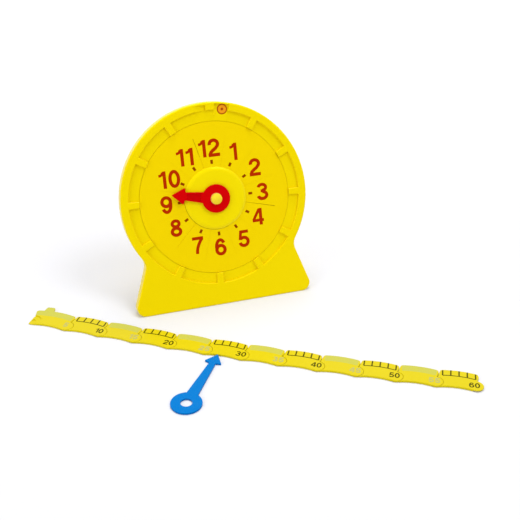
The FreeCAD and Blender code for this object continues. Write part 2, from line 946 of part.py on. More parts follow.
def make_hand(name, placement, length, shaftTip, bore, back, recessed=False):
    """A ring, a tapered shaft and an arrow head, pointing along +Y."""
    body = new_body(name, placement)
    ring = s["hand_ring_radius"]
    root = s["hand_shaft_root_half_width"]
    head = length - s["hand_head_length"]
    neck = head - s["hand_barb_rise"] / 2
    disc = new_sketch(body, "ring", back)
    draw_circle(disc, ring)
    pad(body, disc, s["hand_thickness"])
    arrow = new_sketch(body, "arrow", back)
    draw_outline(
        arrow,
        [
            (-root, 0.0),
            (root, 0.0),
            (root - 0.15, ring),
            (shaftTip, neck),
            (s["hand_head_half_width"], head),
            (0.0, length),
            (-s["hand_head_half_width"], head),
            (-shaftTip, neck),
            (-root + 0.15, ring),
        ],
    )
    pad(body, arrow, s["hand_thickness"])

    def at_tips(edge, middle):
        return is_upright(edge) and middle.y > head.value - 0.5

    def on_top(edge, middle):
        return abs(middle.z - back.value - s["hand_thickness"].value) < 1e-3

    round_edges(body, "tips", as_size(0.9), at_tips)
    round_edges(body, "top_edge", s["hand_edge_radius"], on_top)
    if recessed:
        border = s["hand_recess_border"]
        recess = new_sketch(body, "recess", back + s["hand_thickness"])
        draw_outline(
            recess,
            [
                (border - root, ring + border),
                (root - border, ring + border),
                (shaftTip - border, neck - border),
                (border - shaftTip, neck - border),
            ],
        )
        cut(body, recess, s["hand_recess_depth"])
    hole = new_sketch(body, "bore", back)
    draw_circle(hole, bore)
    cut(body, hole, s["hand_thickness"] + 1.0, forward=True)
    return body


def make_minute_post(placement):
    """The spindle with the domed post that carries the minute hand."""
    body = new_body("minute_post", placement)
    shoulder = hourHandFront + 0.3
    seatTop = shoulder + s["hand_thickness"] + 0.4
    dome = s["post_dome"]
    radius = s["post_radius"]
    domeRadius = (radius * radius + dome * dome) / (2 * dome)
    pinionTop = cannonFront + s["gear_space"] - 0.2
    rearEnd = caseBack + 1.9
    profile = new_sketch(body, "profile", role="XZ_Plane")
    draw_outline(
        profile,
        [
            (0.0, rearEnd),
            (s["rear_journal_radius"], rearEnd),
            (s["rear_journal_radius"], cannonBack),
            (s["pinion_seat_radius"], cannonBack),
            (s["pinion_seat_radius"], pinionTop),
            (s["spindle_radius"], pinionTop),
            (s["spindle_radius"], shoulder),
            (radius, shoulder),
            (radius, seatTop, domeRadius),
            (0.0, seatTop + dome),
        ],
    )
    revolve(body, profile)
    flat = new_sketch(body, "flat", cannonBack)
    reach = s["pinion_seat_radius"] + 1.0
    draw_box(flat, s["drive_flat"], reach, -reach, reach)
    cut(body, flat, pinionTop - cannonBack, forward=True)
    screw_hole = new_sketch(body, "screw_hole", rearEnd)
    draw_circle(screw_hole, s["screw_radius"] + 0.05)
    cut(body, screw_hole, as_size(8.0), forward=True)
    return body


def involute_point(baseRadius, radius, turn):
    """A point of the involute of a base circle, turned about the centre."""
    roll = math.sqrt(max((radius / baseRadius) ** 2 - 1, 0.0))
    angle = roll - math.atan(roll) + turn
    return Vector(radius * math.cos(angle), radius * math.sin(angle), 0)


def tooth_gap(sketch, teeth, middle):
    """One space between teeth, centred at an angle in radians from +X."""
    pitch = s["gear_module"].value * teeth / 2
    pressure = math.radians(s["pressure_angle"].value)
    base = pitch * math.cos(pressure)
    root = pitch - 1.15 * s["gear_module"].value
    tip = pitch + 1.6 * s["gear_module"].value
    half_space = math.pi / 2 / teeth + s["gear_backlash"].value / 2 / pitch
    roll = math.tan(pressure) - pressure
    low = max(base, root)
    start_turn = half_space - roll
    flank = [involute_point(base, r, start_turn) for r in (tip, (tip + low) / 2, low)]
    foot = Vector(root * math.cos(start_turn), root * math.sin(start_turn), 0)
    if root > base:
        foot = flank[2]

    def place(point, mirrored):
        y = -point.y if mirrored else point.y
        c = math.cos(middle)
        d = math.sin(middle)
        return Vector(point.x * c - y * d, point.x * d + y * c, 0)

    left = [place(p, False) for p in flank]
    right = [place(p, True) for p in flank]
    left_foot = place(foot, False)
    right_foot = place(foot, True)
    sketch.addGeometry(Part.Arc(left[0], left[1], left[2]))
    if (left[2] - left_foot).Length > 1e-6:
        sketch.addGeometry(Part.LineSegment(left[2], left_foot))
        sketch.addGeometry(Part.LineSegment(right_foot, right[2]))
    sketch.addGeometry(Part.LineSegment(left_foot, right_foot))
    sketch.addGeometry(Part.Arc(right[2], right[1], right[0]))
    sketch.addGeometry(Part.LineSegment(right[0], left[0]))
    for index in range(sketch.GeometryCount):
        sketch.addConstraint(Sketcher.Constraint("Block", index))


def add_gear(body, name, teeth, back, thickness, gapAngle):
    """A toothed disc with a space centred at gapAngle, in degrees from +X."""
    count = int(round(teeth.value))
    tip = s["gear_module"] * (teeth / 2 + 0.9)
    blank = new_sketch(body, f"{name}_blank", back)
    draw_circle(blank, tip)
    pad(body, blank, thickness)
    gap = new_sketch(body, f"{name}_gap", back)
    tooth_gap(gap, count, math.radians(gapAngle))
    first = cut(body, gap, thickness, forward=True)
    pattern_round(body, [first], count)


def make_cannon_pinion(placement):
    body = new_body("cannon_pinion", placement)
    teeth = s["cannon_teeth"]
    half_tooth = 180.0 / teeth.value
    add_gear(body, "teeth", teeth, cannonBack, s["gear_thickness"], 90 + half_tooth)
    collar = new_sketch(body, "collar", cannonFront)
    draw_circle(collar, s["pinion_seat_radius"] + 2.4)
    pad(body, collar, s["gear_space"] - 0.2)
    bore = new_sketch(body, "bore", cannonBack)
    radius = s["pinion_seat_radius"] + 0.02
    flat = s["drive_flat"] + 0.02
    flat_half = root_of(radius * radius - flat * flat)
    draw_outline(
        bore,
        [
            (flat, -flat_half),
            (flat, flat_half, radius),
            (-radius, 0.0, radius),
        ],
    )
    cut(body, bore, s["gear_thickness"] + s["gear_space"], forward=True)
    return body


def make_idler_gear(placement):
    """The 45-tooth wheel and 12-tooth pinion on one hub, on its axle's axis."""
    body = new_body("idler_gear", placement)
    add_gear(body, "wheel", s["idler_teeth"], cannonBack, s["gear_thickness"], 270.0)
    hub = new_sketch(body, "hub", cannonFront)
    draw_circle(hub, s["idler_axle_radius"] + 3.0)
    pad(body, hub, s["gear_space"])
    add_gear(
        body,
        "pinion",
        s["idler_pinion_teeth"],
        hourWheelBack,
        s["gear_thickness"],
        270.0,
    )
    relief = new_sketch(body, "relief", cannonFront)
    draw_circle(relief, s["gear_module"] * s["idler_teeth"] / 2 - 4.5)
    draw_circle(relief, s["gear_module"] * (s["idler_pinion_teeth"] / 2 + 0.9) + 1.0)
    cut(body, relief, s["gear_thickness"] / 3)
    bore = new_sketch(body, "bore", cannonBack)
    draw_circle(bore, s["idler_axle_radius"] + s["running_clearance"])
    cut(body, bore, 3 * s["gear_thickness"], forward=True)
    return body


def make_hour_wheel(placement):
    """The 48-tooth wheel with the tube that carries the hour hand."""
    body = new_body("hour_wheel", placement)
    teeth = s["hour_teeth"]
    half_tooth = 180.0 / teeth.value
    add_gear(body, "teeth", teeth, hourWheelBack, s["gear_thickness"], 90 + half_tooth)
    relief = new_sketch(body, "relief", hourWheelFront)
    draw_circle(relief, s["gear_module"] * teeth / 2 - 4.5)
    draw_circle(relief, hourBearingRadius + 4.0)
    cut(body, relief, s["gear_thickness"] / 3)
    tube = new_sketch(body, "tube", hourWheelFront)
    draw_circle(tube, s["tube_radius"])
    pad(body, tube, hourHandFront - hourWheelFront)
    bore = new_sketch(body, "bore", hourWheelBack)
    draw_circle(bore, s["spindle_radius"] + s["running_clearance"])
    cut(body, bore, hourHandFront - hourWheelBack + 1.0, forward=True)
    return body


def make_idler_axle(placement):
    axle = doc.addObject("Part::Cylinder", "idler_axle")
    axle.Label = "idler_axle"
    front = dialSeat - 1.0
    back = caseBack + 1.2
    bind(axle, Radius=s["idler_axle_radius"], Height=front - back)
    axle.Placement = placement * FreeCAD.Placement(
        Vector(0, gearCentres.value, back.value), FreeCAD.Rotation()
    )
    return axle


def make_spindle_washer(placement):
    body = new_body("spindle_washer", placement)
    top = caseBack + 1.9
    thickness = as_size(0.6)
    ring = new_sketch(body, "ring", top - thickness)
    draw_circle(ring, as_size(7.5))
    draw_circle(ring, s["screw_radius"] + 0.15)
    pad(body, ring, thickness)
    return body


def add_screw(body, name, x, y, headBack, headHeight, shank):
    """A pan-head screw whose head starts at headBack and points to +Z."""
    head = new_sketch(body, f"{name}_head", headBack)
    draw_circle(head, s["screw_head_radius"], x, y)
    pad(body, head, headHeight)
    stem = new_sketch(body, f"{name}_shank", headBack + headHeight)
    draw_circle(stem, s["screw_radius"], x, y)
    pad(body, stem, shank)


def make_spindle_screw(placement):
    body = new_body("spindle_screw", placement)
    headBack = caseBack + 0.1
    add_screw(body, "screw", 0.0, 0.0, headBack, as_size(1.2), as_size(8.0))
    return body


def make_cover_screws(placement):
    """Six separate screws that share one node."""
    screws = []
    for number, (x, y) in enumerate(screw_places()):
        head = doc.addObject("Part::Cylinder", f"screw_head_{number}")
        shank = doc.addObject("Part::Cylinder", f"screw_shank_{number}")
        headBack = caseBack + 0.6
        bind(head, Radius=s["screw_head_radius"], Height=s["screw_head_height"])
        bind(shank, Radius=s["screw_radius"], Height=8.0 + s["screw_head_height"])
        for piece in (head, shank):
            piece.Placement = FreeCAD.Placement(
                Vector(x.value, y.value, headBack.value), FreeCAD.Rotation()
            )
            piece.setExpression("Placement.Base.x", x.text)
            piece.setExpression("Placement.Base.y", y.text)
            piece.setExpression("Placement.Base.z", headBack.text)
        screw = doc.addObject("Part::Fuse", f"cover_screw_{number}")
        screw.Base = head
        screw.Tool = shank
        screws.append(screw)
    group = doc.addObject("Part::Compound", "cover_screws")
    group.Label = "cover_screws"
    group.Links = screws
    group.Placement = placement
    return group


# ---- number line ----


def link_point(radius, turn):
    """A point of a link, by radius and angle about the closed ring's centre."""
    turn = as_size(turn)
    return linkPitch / 2 + radius * sine(turn), radius * cosine(turn) - ringDrop


def make_link(name, placement, first, last):
    """One link: the band and body, a tongue at the left and a disc at the right.
    The ring closes where the last link's plain pin drops into the first's socket."""
    body = new_body(name, placement)
    thickness = s["link_thickness"]
    knuckle = s["knuckle_radius"]
    tongue = knuckle - 0.4
    gap = s["knuckle_gap"]
    outer = s["line_outer_radius"]
    left = s["band_turn"] - s["band_half_angle"]
    right = s["band_turn"] + s["band_half_angle"]
    leftTurn = s["notch_turn"]
    if first:
        left = right + 0.6 - 2 * halfStep
        leftTurn = leftTurn - 2 * halfStep
    inner_turn = halfStep - 1.0
    reach = s["notch_reach"]
    halfGap = s["notch_gap"] / 2

    plate = new_sketch(body, "plate")
    draw_outline(
        plate,
        [
            (*link_point(linkInnerRadius, -inner_turn), -linkInnerRadius),
            (*link_point(linkInnerRadius, inner_turn),),
            (*link_point(s["line_pivot_radius"], halfStep - 0.4),),
            (
                linkPitch + reach * sine(s["notch_turn"]) - halfGap,
                reach * cosine(s["notch_turn"]),
            ),
            (*link_point(outer, right), outer),
            (*link_point(outer, left),),
            (reach * sine(leftTurn) + halfGap, reach * cosine(leftTurn)),
            (*link_point(s["line_pivot_radius"], 0.4 - halfStep),),
        ],
    )
    pad(body, plate, thickness)

    def at_band(edge, middle):
        return is_upright(edge) and middle.y + ringDrop.value > outer.value - 8

    round_edges(body, "corners", s["link_corner_radius"], at_band)
    if first:
        tab = new_sketch(body, "tab")
        root = outer - 3.0
        halfTab = s["tab_width"] / 2 / outer * (180 / math.pi)
        tabTop = outer + s["tab_height"]
        draw_outline(
            tab,
            [
                (*link_point(root, s["tab_turn"] + halfTab),),
                (*link_point(tabTop, s["tab_turn"] + halfTab * 0.72), tabTop),
                (*link_point(tabTop, s["tab_turn"] - halfTab * 0.72),),
                (*link_point(root, s["tab_turn"] - halfTab),),
            ],
        )
        pad(body, tab, thickness)

        def at_tab(edge, middle):
            return is_upright(edge) and middle.y + ringDrop.value > outer.value + 1

        round_edges(body, "tab_corners", s["tab_corner_radius"], at_tab)

    # lapped ends: the upper half goes at the left, the lower half at the right
    lap = new_sketch(body, "upper_lap", thickness)
    draw_circle(lap, knuckle + gap)
    cut(body, lap, thickness - tongueTop)
    under = new_sketch(body, "lower_lap")
    draw_circle(under, knuckle - 0.4 + gap, linkPitch, 0.0)
    cut(body, under, discBottom, forward=True)
    tongue_disc = new_sketch(body, "tongue")
    draw_circle(tongue_disc, tongue)
    pad(body, tongue_disc, tongueTop)
    if first:
        end = new_sketch(body, "closing_end")
        draw_box(end, -knuckle - 1.0, -s["closing_end_trim"], -knuckle, knuckle)
        cut(body, end, tongueTop, forward=True)
    upper_disc = new_sketch(body, "knuckle", discBottom)
    draw_circle(upper_disc, knuckle, linkPitch, 0.0)
    pad(body, upper_disc, thickness - discBottom)

    # snap pivot: a headed pin under the disc, a stepped hole in the tongue
    ledge = tongueTop * 0.5
    pin = new_sketch(body, "pin", discBottom)
    draw_circle(pin, s["pivot_pin_radius"], linkPitch, 0.0)
    pad(body, pin, discBottom - ledge - 0.2, back=True)
    if not last:
        head = new_sketch(body, "pin_head", ledge - 0.1)
        draw_circle(head, s["pivot_head_radius"], linkPitch, 0.0)
        pad(body, head, ledge - 0.25, back=True)
        shank = new_sketch(body, "pin_shank", ledge + 0.25)
        draw_circle(shank, s["pivot_pin_radius"], linkPitch, 0.0)
        pad(body, shank, as_size(0.4), back=True)
    hole = new_sketch(body, "hole", tongueTop)
    draw_circle(hole, s["pivot_pin_radius"] + s["running_clearance"])
    if first:
        cut(body, hole, tongueTop - 0.4)
    else:
        cut(body, hole, tongueTop)
        sink = new_sketch(body, "hole_sink")
        draw_circle(sink, s["pivot_head_radius"] + 0.5)
        cut(body, sink, ledge, forward=True)

    def on_top(edge, middle):
        return abs(middle.z - thickness.value) < 1e-3

    bevel_edges(body, "top_edge", s["link_edge_bevel"], on_top)
    return body


def link_placements():
    """Placements of the twelve links, laid out from the middle pivot."""
    pitch = linkPitch.value
    middle = linkCount // 2
    pivot = Vector(s["line_place_x"].value, s["line_place_y"].value, 0)

    def heading(number):
        offset = (number - middle - 0.5) * s["line_rest_bend"].value
        return math.radians(s["line_heading"].value + offset)

    def step(number):
        turn = heading(number)
        return Vector(math.cos(turn), math.sin(turn), 0) * pitch

    starts = {}
    place = pivot
    for number in range(middle + 1, linkCount + 1):
        starts[number] = place
        place = place + step(number)
    place = pivot
    for number in range(middle, 0, -1):
        place = place - step(number)
        starts[number] = place
    return {
        number: FreeCAD.Placement(
            starts[number],
            FreeCAD.Rotation(Vector(0, 0, 1), math.degrees(heading(number))),
        )
        for number in starts
    }


# ---- assembly ----

clock = clock_placement()
idlerPlace = turned(clock, 0.0, Vector(0, gearCentres.value, 0))
handTurned = turned(clock, -s["hour_hand_turn"].value)
foldedStand = clock * FreeCAD.Placement(
    Vector(0, -s["stand_pivot_drop"].value, standAxisZ.value), FreeCAD.Rotation()
)
openStand = foldedStand * FreeCAD.Placement(
    Vector(0, 0, 0),
    FreeCAD.Rotation(Vector(1, 0, 0), s["stand_opening"].value),
)
minuteHandPlace = FreeCAD.Placement(
    Vector(s["minute_hand_place_x"].value, s["minute_hand_place_y"].value, 0),
    FreeCAD.Rotation(Vector(0, 0, 1), s["minute_hand_heading"].value - 90),
)

subparts = [
    make_front_housing(clock),
    make_dial_plate(clock),
    make_hub_cover(clock),
    make_rear_cover(clock),
    make_cover_screws(clock),
    make_stand_leg(openStand),
    make_stand_pin(foldedStand),
    make_hand(
        "hour_hand",
        handTurned,
        s["hour_hand_length"],
        s["hour_shaft_tip_half_width"],
        s["tube_radius"] + 0.02,
        hourHandBack,
        recessed=True,
    ),
    make_hand(
        "minute_hand",
        minuteHandPlace,
        s["minute_hand_length"],
        s["minute_shaft_tip_half_width"],
        s["post_radius"] + s["hand_bore_clearance"],
        as_size(0.0),
    ),
    make_minute_post(clock),
    make_cannon_pinion(clock),
    make_idler_gear(idlerPlace),
    make_hour_wheel(clock),
    make_idler_axle(clock),
    make_spindle_washer(clock),
    make_spindle_screw(clock),
]
for number, placement in sorted(link_placements().items()):
    name = f"link_{number:02d}"
    subparts.append(make_link(name, placement, number == 1, number == linkCount))

doc.recompute()
for item in doc.Objects:
    if "Invalid" in item.State or "Error" in item.State:
        raise ValueError(f"{item.Label} did not build: {item.State}")
for item in subparts:
    if item.Shape.isNull() or not item.Shape.isValid():
        raise ValueError(f"{item.Label} has no valid shape")

os.makedirs("parts", exist_ok=True)
for item in subparts:
    item.Shape.exportStep(f"parts/{item.Label}.step")
print(f"wrote {len(subparts)} sub-parts")
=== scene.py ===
import math
import bpy
import bmesh
from mathutils import Matrix, Vector


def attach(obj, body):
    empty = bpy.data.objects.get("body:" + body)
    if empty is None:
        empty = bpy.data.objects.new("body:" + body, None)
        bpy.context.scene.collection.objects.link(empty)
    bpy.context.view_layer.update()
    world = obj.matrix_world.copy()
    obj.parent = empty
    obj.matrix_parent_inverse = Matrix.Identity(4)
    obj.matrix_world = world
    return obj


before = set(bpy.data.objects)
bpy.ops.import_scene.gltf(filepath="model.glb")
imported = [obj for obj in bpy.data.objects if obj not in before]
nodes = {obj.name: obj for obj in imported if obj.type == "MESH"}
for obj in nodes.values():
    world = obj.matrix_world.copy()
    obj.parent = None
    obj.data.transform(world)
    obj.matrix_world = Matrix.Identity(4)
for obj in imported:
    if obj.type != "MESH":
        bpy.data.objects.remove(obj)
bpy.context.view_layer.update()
print("frame loaded:", len(nodes), "nodes")

mm = 0.001
linkCount = 12
printSink = 0.00005   # how far a print reaches into the surface that carries it

# Where the clock's face stands: the dial's printed surface is its XY plane
face = {
    "lean": 18.0,        # degrees back from upright
    "behind": 0.04703,   # dial centre behind the middle of the base
    "height": 0.1661,
}
facePlace = Matrix.Translation((0, face["behind"], face["height"])) @ Matrix.Rotation(
    math.radians(90 - face["lean"]), 4, "X"
)
faceAxis = facePlace.to_3x3() @ Vector((0, 0, 1))

# Where the number line lies, from its middle pivot outwards
line = {
    "middle": (-0.0159, -0.1546),
    "heading": -30.95,       # degrees, at the middle pivot
    "bend": 0.56,            # degrees more at each pivot to the right
    "pivotRadius": 0.1112,   # pivots of the closed ring
    "outerRadius": 0.1373,
    "printRadius": 0.1243,   # inner edge of the printed band
    "bandTurn": 1.9,         # degrees from a link's middle to its band's
    "bandHalf": 11.4,
    "thickness": 0.0032,
}
halfStep = math.radians(180 / linkCount)
linkPitch = 2 * line["pivotRadius"] * math.sin(halfStep)
ringDrop = line["pivotRadius"] * math.cos(halfStep)   # ring's centre to a link's line of pivots


def headingOf(number):
    return math.radians(line["heading"] + (number - (linkCount + 1) / 2) * line["bend"])


def linkPlace(number):
    # walk from the middle pivot to the link's left pivot
    x, y = line["middle"]
    lastLeft = linkCount // 2
    for passed in range(lastLeft + 1, number):
        x += linkPitch * math.cos(headingOf(passed))
        y += linkPitch * math.sin(headingOf(passed))
    for passed in range(lastLeft, number - 1, -1):
        x -= linkPitch * math.cos(headingOf(passed))
        y -= linkPitch * math.sin(headingOf(passed))
    return Matrix.Translation((x, y, 0)) @ Matrix.Rotation(headingOf(number), 4, "Z")


def newMaterial(name):
    material = bpy.data.materials.new(name)
    material.use_nodes = True
    tree = material.node_tree
    tree.nodes.clear()
    output = tree.nodes.new("ShaderNodeOutputMaterial")
    shader = tree.nodes.new("ShaderNodeBsdfPrincipled")
    tree.links.new(shader.outputs["BSDF"], output.inputs["Surface"])
    return material, tree, shader


def addNoise(tree, coords, scale, detail, roughness=0.5):
    noise = tree.nodes.new("ShaderNodeTexNoise")
    noise.inputs["Scale"].default_value = scale
    noise.inputs["Detail"].default_value = detail
    noise.inputs["Roughness"].default_value = roughness
    tree.links.new(coords, noise.inputs["Vector"])
    return noise.outputs["Fac"]


def addRange(tree, value, low, high):
    # a noise keeps mostly between these two values, spread here from low to high
    spread = tree.nodes.new("ShaderNodeMapRange")
    spread.inputs["From Min"].default_value = 0.3
    spread.inputs["From Max"].default_value = 0.7
    spread.inputs["To Min"].default_value = low
    spread.inputs["To Max"].default_value = high
    tree.links.new(value, spread.inputs["Value"])
    return spread.outputs["Result"]


def addTint(tree, value, colour, spread):
    # two nearby shades of one colour, mixed by a noise
    mix = tree.nodes.new("ShaderNodeMix")
    mix.data_type = "RGBA"
    dark = [c * (1 - spread) for c in colour]
    light = [min(c * (1 + spread), 1.0) for c in colour]
    mix.inputs["A"].default_value = (*dark, 1)
    mix.inputs["B"].default_value = (*light, 1)
    tree.links.new(value, mix.inputs["Factor"])
    return mix.outputs["Result"]


def addBump(tree, height, strength, distance, normal=None):
    bump = tree.nodes.new("ShaderNodeBump")
    bump.inputs["Strength"].default_value = strength
    bump.inputs["Distance"].default_value = distance
    tree.links.new(height, bump.inputs["Height"])
    if normal is not None:
        tree.links.new(normal, bump.inputs["Normal"])
    return bump.outputs["Normal"]


def addDepth(tree, place, colour, sunk):
    # painted shade: a darker tone below one level, on a hand's sides and on its shaft, which is
    # recessed
    edge = 0.0001
    depth = tree.nodes.new("ShaderNodeVectorMath")
    depth.operation = "DOT_PRODUCT"
    depth.inputs[1].default_value = sunk["axis"]
    tree.links.new(place, depth.inputs[0])
    tone = tree.nodes.new("ShaderNodeMapRange")
    tone.inputs["From Min"].default_value = sunk["level"] - edge
    tone.inputs["From Max"].default_value = sunk["level"] + edge
    tone.inputs["To Min"].default_value = sunk["tone"]
    tree.links.new(depth.outputs["Value"], tone.inputs["Value"])
    shadedColour = tree.nodes.new("ShaderNodeVectorMath")
    shadedColour.operation = "SCALE"
    tree.links.new(colour, shadedColour.inputs[0])
    tree.links.new(tone.outputs["Result"], shadedColour.inputs["Scale"])
    return shadedColour.outputs["Vector"]


# Moulded plastic: a slow noise for the flow of the melt, a fine one for the mould's grain
moulding = {"flowHeight": 0.0006, "grainHeight": 0.00008, "ior": 1.49}
yellowGlint = (1.0, 0.78, 0.03)
plastic = {
    "case": {
        "colour": (0.855, 0.665, 0.0006), "shade": 0.015, "gloss": (0.26, 0.36),
        "shine": 0.35, "glint": yellowGlint,
        "flowScale": 9.0, "waviness": 0.08, "grainScale": 900.0, "grain": 0.12,
    },
    "dial": {
        "colour": (0.860, 0.635, 0.0006), "shade": 0.012, "gloss": (0.34, 0.44),
        "shine": 0.25, "glint": yellowGlint,
        "flowScale": 12.0, "waviness": 0.03, "grainScale": 1200.0, "grain": 0.15,
    },
    "hub": {
        "colour": (0.866, 0.700, 0.001), "shade": 0.010, "gloss": (0.20, 0.28),
        "shine": 0.50, "glint": (1.0, 0.84, 0.04),
        "flowScale": 14.0, "waviness": 0.05, "grainScale": 900.0, "grain": 0.08,
    },
    "post": {
        "colour": (0.850, 0.665, 0.030), "shade": 0.010, "gloss": (0.16, 0.24),
        "shine": 0.05, "glint": (1.0, 0.88, 0.30),
        "flowScale": 60.0, "waviness": 0.03, "grainScale": 1500.0, "grain": 0.06,
    },
    "back": {
        "colour": (0.840, 0.620, 0.002), "shade": 0.020, "gloss": (0.42, 0.56),
        "shine": 0.30, "glint": yellowGlint,
        "flowScale": 10.0, "waviness": 0.05, "grainScale": 700.0, "grain": 0.35,
    },
    "line": {
        "colour": (0.640, 0.526, 0.004), "shade": 0.020, "gloss": (0.28, 0.40),
        "shine": 0.35, "glint": (1.0, 0.86, 0.20),
        "flowScale": 22.0, "waviness": 0.06, "grainScale": 1100.0, "grain": 0.12,
    },
    "red": {
        "colour": (0.620, 0.0006, 0.0015), "shade": 0.030, "gloss": (0.24, 0.32),
        "shine": 0.40, "glint": (1.0, 0.03, 0.04),
        "flowScale": 18.0, "waviness": 0.05, "grainScale": 1100.0, "grain": 0.08,
    },
    "blue": {
        "colour": (0.0006, 0.172, 0.545), "shade": 0.030, "gloss": (0.26, 0.36),
        "shine": 0.10, "glint": (0.01, 0.40, 1.0),
        "flowScale": 18.0, "waviness": 0.05, "grainScale": 1100.0, "grain": 0.10,
    },
    "gear": {
        "colour": (0.830, 0.660, 0.200), "shade": 0.020, "gloss": (0.38, 0.50),
        "shine": 0.30, "glint": (1.0, 0.90, 0.50),
        "flowScale": 40.0, "waviness": 0.03, "grainScale": 1500.0, "grain": 0.10,
    },
}
# Painted shade from just under each hand's front: heights above the dial for the red one, the table
# for the blue
plastic["red"]["sunk"] = {
    "axis": faceAxis,
    "level": facePlace.translation.dot(faceAxis) + 0.00675,
    "tone": 0.86,
}
plastic["blue"]["sunk"] = {"axis": (0, 0, 1), "level": 0.00275, "tone": 0.88}


def mouldedPlastic(name, look):
    material, tree, shader = newMaterial(name)
    place = tree.nodes.new("ShaderNodeTexCoord").outputs["Object"]
    slow = addNoise(tree, place, look["flowScale"], detail=3.0)
    fine = addNoise(tree, place, look["grainScale"], detail=2.0, roughness=0.6)
    colour = addTint(tree, slow, look["colour"], look["shade"])
    # painted shade on the hands' sides and recessed shafts
    if "sunk" in look:
        colour = addDepth(tree, place, colour, look["sunk"])
    tree.links.new(colour, shader.inputs["Base Color"])
    tree.links.new(addRange(tree, fine, *look["gloss"]), shader.inputs["Roughness"])
    waves = addBump(tree, slow, look["waviness"], moulding["flowHeight"])
    grain = addBump(tree, fine, look["grain"], moulding["grainHeight"], waves)
    tree.links.new(grain, shader.inputs["Normal"])
    shader.inputs["IOR"].default_value = moulding["ior"]
    shader.inputs["Specular IOR Level"].default_value = look["shine"]
    shader.inputs["Specular Tint"].default_value = (*look["glint"], 1)
    return material


# Print on the dial and the number line, and two thin dark sheets of painted shade, all made alike
inkAndShadeFilm = {"speckleScale": 1600.0, "gloss": (0.38, 0.5), "shine": 0.15}
inkAndShade = {
    "numerals": {"colour": (0.440, 0.024, 0.0004), "shade": 0.08},
    "hourMarks": {"colour": (0.270, 0.046, 0.0003), "shade": 0.10},
    # painted shade, not print, on the next two: in two dial grooves, and along the hub cover's
    # shaded edge
    "paintedGrooveShade": {"colour": (0.300, 0.170, 0.001), "shade": 0.10},
    "hubEdgeShade": {"colour": (0.400, 0.330, 0.001), "shade": 0.10},
    "minuteMarks": {"colour": (0.080, 0.070, 0.001), "shade": 0.12},
    "paleBand": {"colour": (0.520, 0.505, 0.075), "shade": 0.05},
    "paleMarks": {"colour": (0.515, 0.500, 0.085), "shade": 0.05},
    "paleNumbers": {"colour": (0.470, 0.440, 0.125), "shade": 0.05},
    "badgeFill": {"colour": (0.860, 0.330, 0.012), "shade": 0.04},
    "badgeRing": {"colour": (0.400, 0.070, 0.004), "shade": 0.06},
}


def printedInk(name, look):
    material, tree, shader = newMaterial(name)
    place = tree.nodes.new("ShaderNodeTexCoord").outputs["Object"]
    speckle = addNoise(tree, place, inkAndShadeFilm["speckleScale"], detail=2.0, roughness=0.6)
    colour = addTint(tree, speckle, look["colour"], look["shade"])
    tree.links.new(colour, shader.inputs["Base Color"])
    tree.links.new(addRange(tree, speckle, *inkAndShadeFilm["gloss"]), shader.inputs["Roughness"])
    shader.inputs["Specular IOR Level"].default_value = inkAndShadeFilm["shine"]
    shader.inputs["Specular Tint"].default_value = (*look["colour"], 1)
    return material


steelLook = {
    "colour": (0.56, 0.56, 0.58),
    "shade": 0.12,
    "gloss": (0.22, 0.42),
    "streakScale": 420.0,
    "stretch": (1.0, 14.0, 1.0),
    "streaks": 0.15,
    "streakHeight": 0.00005,
}


def turnedSteel(name):
    material, tree, shader = newMaterial(name)
    place = tree.nodes.new("ShaderNodeTexCoord").outputs["Object"]
    stretch = tree.nodes.new("ShaderNodeMapping")
    stretch.inputs["Scale"].default_value = steelLook["stretch"]
    tree.links.new(place, stretch.inputs["Vector"])
    stretched = stretch.outputs["Vector"]
    streaks = addNoise(tree, stretched, steelLook["streakScale"], detail=4.0, roughness=0.6)
    colour = addTint(tree, streaks, steelLook["colour"], steelLook["shade"])
    tree.links.new(colour, shader.inputs["Base Color"])
    tree.links.new(addRange(tree, streaks, *steelLook["gloss"]), shader.inputs["Roughness"])
    scratches = addBump(tree, streaks, steelLook["streaks"], steelLook["streakHeight"])
    tree.links.new(scratches, shader.inputs["Normal"])
    shader.inputs["Metallic"].default_value = 1.0
    return material


plastics = {name: mouldedPlastic(f"{name} plastic", look) for name, look in plastic.items()}
inkAndShadeMaterials = {name: printedInk(f"{name} ink", look) for name, look in inkAndShade.items()}
steel = turnedSteel("turned steel")

finishes = {
    "front_housing": plastics["case"],
    "dial_plate": plastics["dial"],
    "hub_cover": plastics["hub"],
    "rear_cover": plastics["back"],
    "stand_leg": plastics["back"],
    "minute_post": plastics["post"],
    "hour_hand": plastics["red"],
    "minute_hand": plastics["blue"],
    "idler_gear": plastics["gear"],
    "hour_wheel": plastics["gear"],
    "cannon_pinion": plastics["gear"],
    "cover_screws": steel,
    "idler_axle": steel,
    "stand_hinge_pin": steel,
    "spindle_washer": steel,
    "spindle_screw": steel,
}
for number in range(1, linkCount + 1):
    finishes[f"link_{number:02d}"] = plastics["line"]
for name, node in nodes.items():
    node.data.materials.clear()
    node.data.materials.append(finishes[name])
print("plastics, inks and steel on", len(finishes), "nodes")


def arcPoints(centreX, centreY, radiusX, radiusY, fromAngle, toAngle, steps=20):
    points = []
    for i in range(steps + 1):
        angle = math.radians(fromAngle + (toAngle - fromAngle) * i / steps)
        points.append((centreX + radiusX * math.cos(angle), centreY + radiusY * math.sin(angle)))
    return points


def circlePoints(centreX, centreY, radius, count):
    return arcPoints(centreX, centreY, radius, radius, 0, 360 - 360 // count, count - 1)


def spokePath(turn, fromRadius, toRadius):
    # a radial line on the dial, at a clock angle in degrees
    angle = math.radians(turn)
    return [(r * math.sin(angle), r * math.cos(angle)) for r in (fromRadius, toRadius)]


